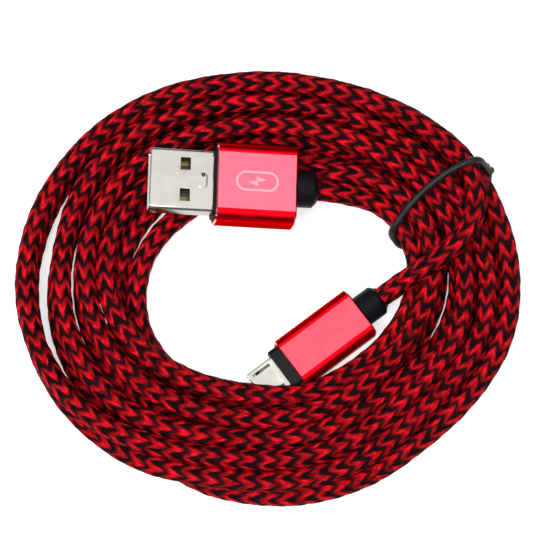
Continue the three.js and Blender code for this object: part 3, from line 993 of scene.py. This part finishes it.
def moulded_boot(front, length, radius, chamfer):
    """A barrel with a fine step at the front, an eased chamfer at the back and the cord's bore."""
    back = front - length
    profile = [
        (front, BOOT_BORE), (front, radius - 0.12), (front - 0.12, radius), (front - 0.55, radius),
        (front - 0.62, radius - 0.06), (front - 0.74, radius - 0.06), (front - 0.81, radius),
        (back + chamfer + 0.15, radius), (back + chamfer - 0.1, radius - 0.09),
        (back + 0.12, radius - chamfer + 0.05), (back, radius - chamfer - 0.12),
        (back, BOOT_BORE + 0.15), (back + 0.15, BOOT_BORE),
    ]
    return solid(*ring_mesh([across(round_outline(r), x) for x, r in profile], closed=True))


def moulded_core(front, back, width, height, corner, pocket, cavity, cavity_span, bore_to):
    """The core: eased front lip, the shell's pocket, the wires' cavity and the jacket's way out."""
    lip = CORE_LIP
    body = solid(*ring_mesh([
        across(rounded(width, height, corner, 8), back),
        across(rounded(width, height, corner, 8), front - lip),
        across(rounded(width - 0.12, height - 0.12, corner - 0.05, 8), front - lip / 3),
        across(rounded(width - 2 * lip, height - 2 * lip, corner - lip, 8), front),
    ]))
    cut_away(body, [
        solid(*bar_mesh(pocket, cavity_span[1], front + PAST_END)),
        solid(*bar_mesh(cavity, cavity_span[0], cavity_span[1] + 0.1)),
        solid(*bar_mesh(round_outline(JACKET_BORE, 24), back - PAST_END, bore_to)),
    ])
    return body


black_moulding = grained(
    "matt black moulding", 7500, 0.3, 0.00004, (0.42, 0.56),
    ((0.002, 0.0018, 0.003), (0.004, 0.0036, 0.0055)), Specular_IOR_Level=0.08,
)
host_core = moulded_core(
    front=0.5, back=-15.3, width=13.7, height=6.2, corner=1.4, pocket=rounded(12.2, 4.7, 0.6),
    cavity=rounded(10, 5, 0.8), cavity_span=(-13.4, -6.4), bore_to=-13.3,
)
fit(host_core, "host_plug_core", host_place, black_moulding, "black_moulding", "host_core")
host_boot = moulded_boot(front=-15.5, length=4.2, radius=3.6, chamfer=0.9)
fit(host_boot, "host_plug_boot", host_place, black_moulding, "black_moulding", "host_boot")


# ---- The host plug's tongue and contacts ----
# A black glass-filled tongue carries four gold-plated strips. They are just seen in the windows, and their
# gold is coloured very dark as painted shade inside the shell.


def refinish(material, *names):
    """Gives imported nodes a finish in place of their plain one."""
    for name in names:
        for slot in nodes[name].material_slots:
            slot.material = material


insulator = grained(
    "glass filled insulator", 5000, 0.15, 0.00003, (0.3, 0.45),
    ((0.012, 0.012, 0.013), (0.03, 0.03, 0.03)), Specular_IOR_Level=0.4,
)
# The gold's colour is kept very dark: painted shade, for contacts that lie in the shell's shadow.
gold = grained(
    "gold plating darkened by painted shade", 6000, 0.06, 0.00002, (0.22, 0.34),
    ((0.06, 0.048, 0.012), (0.11, 0.085, 0.024)), stretch=(0.2, 1, 1), Metallic=1.0,
)
refinish(insulator, "host_tongue")
refinish(gold, *[f"host_contact_{number}" for number in range(1, 5)])


# ---- What is inside both plugs ----
# The cord's inner jacket ends in a crimped steel ferrule, and four insulated wires run from it
# to the contacts' tails.

jacket_rubber = grained(
    "inner jacket", 6000, 0.3, 0.00004, (0.5, 0.65),
    ((0.02, 0.02, 0.022), (0.04, 0.04, 0.043)), Specular_IOR_Level=0.3,
)
crimp_steel = grained(
    "stamped steel", 5000, 0.12, 0.00003, (0.3, 0.45),
    ((0.4, 0.4, 0.38), (0.58, 0.57, 0.55)), stretch=(1, 1, 0.2), Metallic=1.0,
)
WIRE_TINTS = {
    "wire_red": ((0.42, 0.012, 0.012), (0.58, 0.02, 0.02)),
    "wire_white": ((0.66, 0.66, 0.63), (0.82, 0.82, 0.79)),
    "wire_green": ((0.015, 0.25, 0.04), (0.03, 0.36, 0.06)),
    "wire_black": ((0.006, 0.006, 0.006), (0.015, 0.015, 0.015)),
}

wire_finishes = [
    grained(
        slot.replace("_", " ") + " insulation", 3500, 0.08, 0.00003, (0.32, 0.44),
        tints, Specular_IOR_Level=0.45,
    )
    for slot, tints in WIRE_TINTS.items()
]
for plug in PLUGS:
    refinish(jacket_rubber, plug + "_jacket")
    refinish(crimp_steel, plug + "_crimp")
    for number, insulation in enumerate(wire_finishes, 1):
        refinish(insulation, f"{plug}_wire_{number}")


# ---- The device plug's shell ----
# A small folded steel shell with its two lower edges cut off, plated like the big one.
# A long slot near each side lets the latches stand through its top.

SMALL_WIDTH, SMALL_HEIGHT, SMALL_WALL, SMALL_CUT = 6.85, 1.8, 0.25, 0.55
SMALL_FRONT, SMALL_BACK = 7.8, -3.6
SMALL_SEAM_HALF, SMALL_EASE = 0.03, 0.03
SLOT_FROM, SLOT_TO, SLOT_INNER, SLOT_OUTER = 3.0, 6.9, 2.1, 2.65


def keyed(width, height, cut, round_by):
    """The small shell's outline: square upper corners just rounded, and the lower ones cut off."""
    y, z = width / 2, height / 2
    upper = [
        (y - round_by + round_by * math.cos(turn), z - round_by + round_by * math.sin(turn))
        for turn in (0, math.pi / 4, math.pi / 2)
    ]
    lower = [(y - cut, -z), (y - cut * 0.1, -z + cut * 0.9), (y, -z + cut)]
    right = [*lower, *upper]
    return right + [(-a, b) for a, b in reversed(right)]


small_outside = keyed(SMALL_WIDTH, SMALL_HEIGHT, SMALL_CUT, 0.28)
small_narrowed = keyed(SMALL_WIDTH - 0.24, SMALL_HEIGHT - 0.2, SMALL_CUT - 0.03, 0.2)
small_inside = keyed(SMALL_WIDTH - 2 * SMALL_WALL, SMALL_HEIGHT - 2 * SMALL_WALL, SMALL_CUT - 0.1, 0.08)
device_cuts = []
for side in (1, -1):
    slot = plan(SLOT_FROM, SLOT_TO, side * SLOT_INNER, side * SLOT_OUTER)
    device_cuts.append(prism(slot, 0, SMALL_HEIGHT))
small_seam = plan(SMALL_BACK - PAST_END, SMALL_FRONT + PAST_END, -SMALL_SEAM_HALF, SMALL_SEAM_HALF)
device_cuts.append(prism(small_seam, -SMALL_HEIGHT, -SMALL_HEIGHT / 2 + SMALL_WALL / 2))
device_shell = folded_shell([
    across(small_outside, SMALL_BACK),
    across(small_outside, SMALL_FRONT - 0.3),
    across(small_narrowed, SMALL_FRONT),
    across(small_inside, SMALL_FRONT - 0.08),
    across(small_inside, SMALL_BACK),
], device_cuts, SMALL_EASE)
fit(device_shell, "device_plug_shell", device_place, nickel, "bright_nickel", "device_shell")


# ---- The device plug's carrier, contacts and latches ----
# A thin insulator carries five contact springs under the shell's top, and a polished spring latch
# lies in each slot.

refinish(insulator, "device_carrier")
# The device's contacts take the same gold, darkened as painted shade.
refinish(gold, *[f"device_contact_{number}" for number in range(1, 6)])
spring_steel = grained(
    "polished spring steel", 5000, 0.05, 0.00002, (0.2, 0.32),
    ((0.05, 0.05, 0.048), (0.09, 0.09, 0.085)), stretch=(0.2, 1, 1), Metallic=1.0,
)
refinish(spring_steel, "device_latch_left", "device_latch_right")


# ---- The device plug's sleeve, core and boot ----
# The same drawn and anodised aluminium, over a black core that stands out as a collar round the
# shell. The boot has one small dimple on top, where the mould let it go.

DIMPLE_MIDDLE = -19.7

device_sleeve = drawn_sleeve(width=10.4, height=6.7, corner=1.8, length=17.0, wall=0.75)
fit(device_sleeve, "device_plug_sleeve", device_place, red_polished, "red_anodised", "device_sleeve")
# The small sleeve's wide faces are also coloured paler than its sides: a painted highlight.
deep_satin_and_painted_highlight = grained(
    "small sleeve's satin red face with painted highlight", 6500, 0.14, 0.00003, (0.34, 0.44),
    ((0.77, 0.052, 0.078), (0.82, 0.06, 0.088)), Metallic=0.9,
)
finish_zones(device_sleeve, deep_satin_and_painted_highlight)
device_core = moulded_core(
    front=2.1, back=-16.9, width=8.7, height=5.0, corner=0.95,
    pocket=keyed(SMALL_WIDTH + 0.2, SMALL_HEIGHT + 0.2, SMALL_CUT, 0.2),
    cavity=rounded(6.9, 3.9, 0.8), cavity_span=(-13.8, -3.8), bore_to=-13.7,
)
fit(device_core, "device_plug_core", device_place, black_moulding, "black_moulding", "device_core")
device_boot = moulded_boot(front=-17.1, length=4.9, radius=3.1, chamfer=1.0)
dimple = solid(*ring_mesh([
    [(DIMPLE_MIDDLE + x, y, height) for x, y in round_outline(radius, 16)]
    for radius, height in ((0.2, 2.95), (0.32, 3.5))
]))
cut_away(device_boot, [dimple])
fit(device_boot, "device_plug_boot", device_place, black_moulding, "black_moulding", "device_boot")
